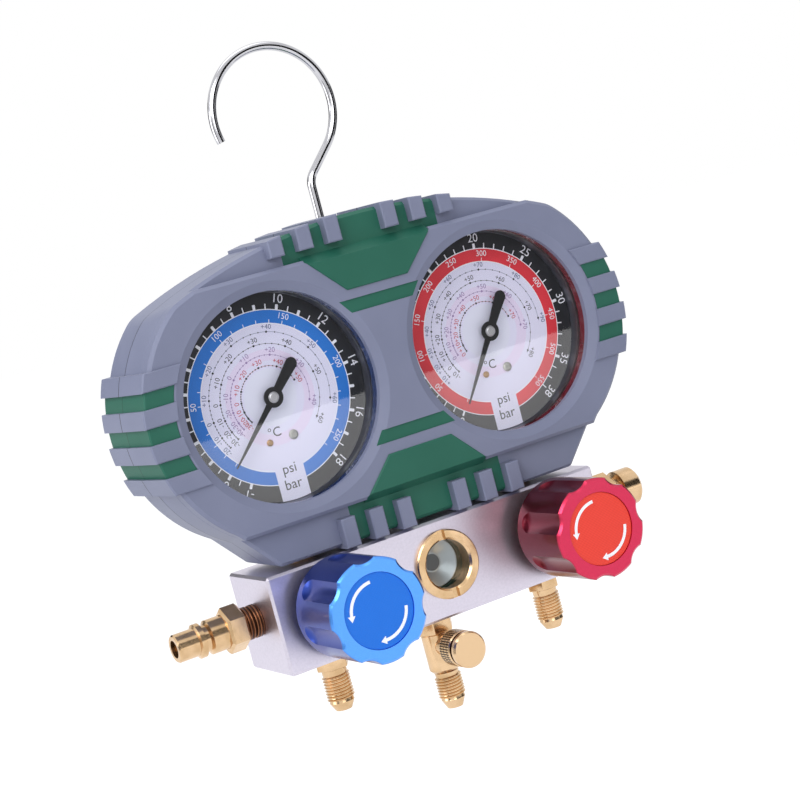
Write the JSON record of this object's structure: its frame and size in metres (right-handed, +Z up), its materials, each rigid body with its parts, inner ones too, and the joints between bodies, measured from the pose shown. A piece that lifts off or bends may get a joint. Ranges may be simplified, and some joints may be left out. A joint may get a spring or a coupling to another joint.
{
  "type": "refrigerant manifold gauge",
  "caption": "Refrigerant manifold with blue low-side and red high-side dial gauges in a ribbed hanging casing, hand valves, sight glass and flare hose ports.",
  "frame": {"origin": "inside of the hook's crown, where it hangs on a rail", "axes": "+X towards the red high side along the block, +Y from the dials towards the back, +Z up"},
  "size_m": [0.2193, 0.075, 0.2778],
  "materials": {
    "casing_grey": "moulded grey-lavender plastic, fine satin",
    "trim_green": "moulded dark green soft plastic inlay",
    "satin_aluminium": "satin anodised block, fine grain",
    "blue_metal": "bright blue anodised knob",
    "red_metal": "bright red anodised knob",
    "brass": "turned brass, polished",
    "copper_seal": "dark copper sealing ring",
    "chrome_wire": "polished chrome-plated steel wire",
    "steel": "plain turned steel",
    "blue_rim": "deep blue moulded rim",
    "red_rim": "deep red moulded rim",
    "dial_print": "white dial plate, printed",
    "lens_clear": "clear moulded window",
    "sight_window": "clear thick glass",
    "black_needle": "black painted pointer",
    "seal_rubber": "dark sealing rubber",
    "valve_seal": "white low-friction seal",
    "case_steel": "grey painted pressed steel"
  },
  "bodies": {
    "manifold": {"bottom_trim_front": "trim_green", "casing_screws": "steel", "dial_screws": "brass", "front_casing": "casing_grey", "high_bezel": "red_rim", "high_bourdon_tube": "brass", "high_dial": "dial_print", "high_gauge_case": "case_steel", "high_gauge_stem": "brass", "high_gland_nut": "brass", "high_hose_port": "brass", "high_lens": "lens_clear", "high_movement": "brass", "high_plug": "brass", "high_plug_seals": "copper_seal", "hook_bush": "steel", "left_stripes_front": "trim_green", "left_stripes_rear": "trim_green", "low_bezel": "blue_rim", "low_bourdon_tube": "brass", "low_dial": "dial_print", "low_gauge_case": "case_steel", "low_gauge_stem": "brass", "low_gland_nut": "brass", "low_hose_port": "brass", "low_lens": "lens_clear", "low_movement": "brass", "low_plug": "brass", "low_plug_seals": "copper_seal", "lower_strip": "trim_green", "manifold_block": "satin_aluminium", "rear_casing": "casing_grey", "right_stripes_front": "trim_green", "right_stripes_rear": "trim_green", "service_tee": "brass", "sight_glass": "sight_window", "sight_o_ring": "seal_rubber", "sight_ring": "brass", "top_trim_front": "trim_green", "top_trim_rear": "trim_green", "upper_strip": "trim_green", "valve_core": "brass"},
    "hook_body": {"hook": "chrome_wire"},
    "low_valve": {"low_valve_seal": "valve_seal"},
    "high_valve": {"high_valve_seal": "valve_seal"},
    "low_handle": {"low_knob": "blue_metal", "low_knob_disc": "blue_metal", "low_valve_stem": "steel"},
    "high_handle": {"high_knob": "red_metal", "high_knob_disc": "red_metal", "high_valve_stem": "steel"},
    "low_pointer": {"low_needle": "black_needle", "low_spindle": "steel"},
    "high_pointer": {"high_needle": "black_needle", "high_spindle": "steel"},
    "low_quadrant": {"low_sector": "brass"},
    "high_quadrant": {"high_sector": "brass"},
    "cap_seal": {"access_gasket": "seal_rubber"},
    "cap": {"access_cap": "brass"},
    "access_pin": {"core_pin": "steel"}
  },
  "joints": [
    {"name": "hook_swivel", "type": "hinge", "parent": "manifold", "child": "hook_body", "pos_m": [0.008, 0, -0.07835], "axis": [0, 0, 1], "continuous": true},
    {"name": "low_valve_travel", "type": "slide", "parent": "manifold", "child": "low_valve", "axis": [0, -1, 0], "range_m": [0, 0.0025]},
    {"name": "low_knob_turn", "type": "hinge", "parent": "low_valve", "child": "low_handle", "pos_m": [-0.04195, -0.031, -0.21255], "axis": [0, -1, 0], "range_deg": [0, 904]},
    {"name": "low_needle_turn", "type": "hinge", "parent": "manifold", "child": "low_pointer", "pos_m": [-0.0414, -0.023, -0.13055], "axis": [0, 1, 0], "range_deg": [-15.5, 280]},
    {"name": "low_sector_turn", "type": "hinge", "parent": "manifold", "child": "low_quadrant", "pos_m": [-0.0414, -0.014, -0.14455], "axis": [0, 1, 0], "range_deg": [-49, 3]},
    {"name": "high_valve_travel", "type": "slide", "parent": "manifold", "child": "high_valve", "axis": [0, -1, 0], "range_m": [0, 0.0025]},
    {"name": "high_knob_turn", "type": "hinge", "parent": "high_valve", "child": "high_handle", "pos_m": [0.05795, -0.031, -0.21255], "axis": [0, -1, 0], "range_deg": [0, 904]},
    {"name": "high_needle_turn", "type": "hinge", "parent": "manifold", "child": "high_pointer", "pos_m": [0.0574, -0.023, -0.13055], "axis": [0, 1, 0], "range_deg": [-7.7, 290.5]},
    {"name": "high_sector_turn", "type": "hinge", "parent": "manifold", "child": "high_quadrant", "pos_m": [0.0574, -0.014, -0.14455], "axis": [0, 1, 0], "range_deg": [-49, 3]},
    {"name": "access_cap_travel", "type": "slide", "parent": "manifold", "child": "cap_seal", "axis": [0, -1, 0], "range_m": [0, 0.01016]},
    {"name": "access_cap_turn", "type": "hinge", "parent": "cap_seal", "child": "cap", "pos_m": [0.008, -0.031, -0.24795], "axis": [0, -1, 0], "range_deg": [0, 2890]},
    {"name": "core_pin_press", "type": "slide", "parent": "manifold", "child": "access_pin", "axis": [0, 1, 0], "range_m": [0, 0.0015], "stiffness_N_per_m": 200}
  ],
  "couplings": [
    {"joint": "low_knob_turn", "follows": "low_valve_travel", "rad_per_m": 6283.2},
    {"joint": "low_sector_turn", "follows": "low_needle_turn", "ratio": -0.16807},
    {"joint": "high_knob_turn", "follows": "high_valve_travel", "rad_per_m": 6283.2},
    {"joint": "high_sector_turn", "follows": "high_needle_turn", "ratio": -0.16807},
    {"joint": "access_cap_turn", "follows": "access_cap_travel", "rad_per_m": 4947.4}
  ]
}
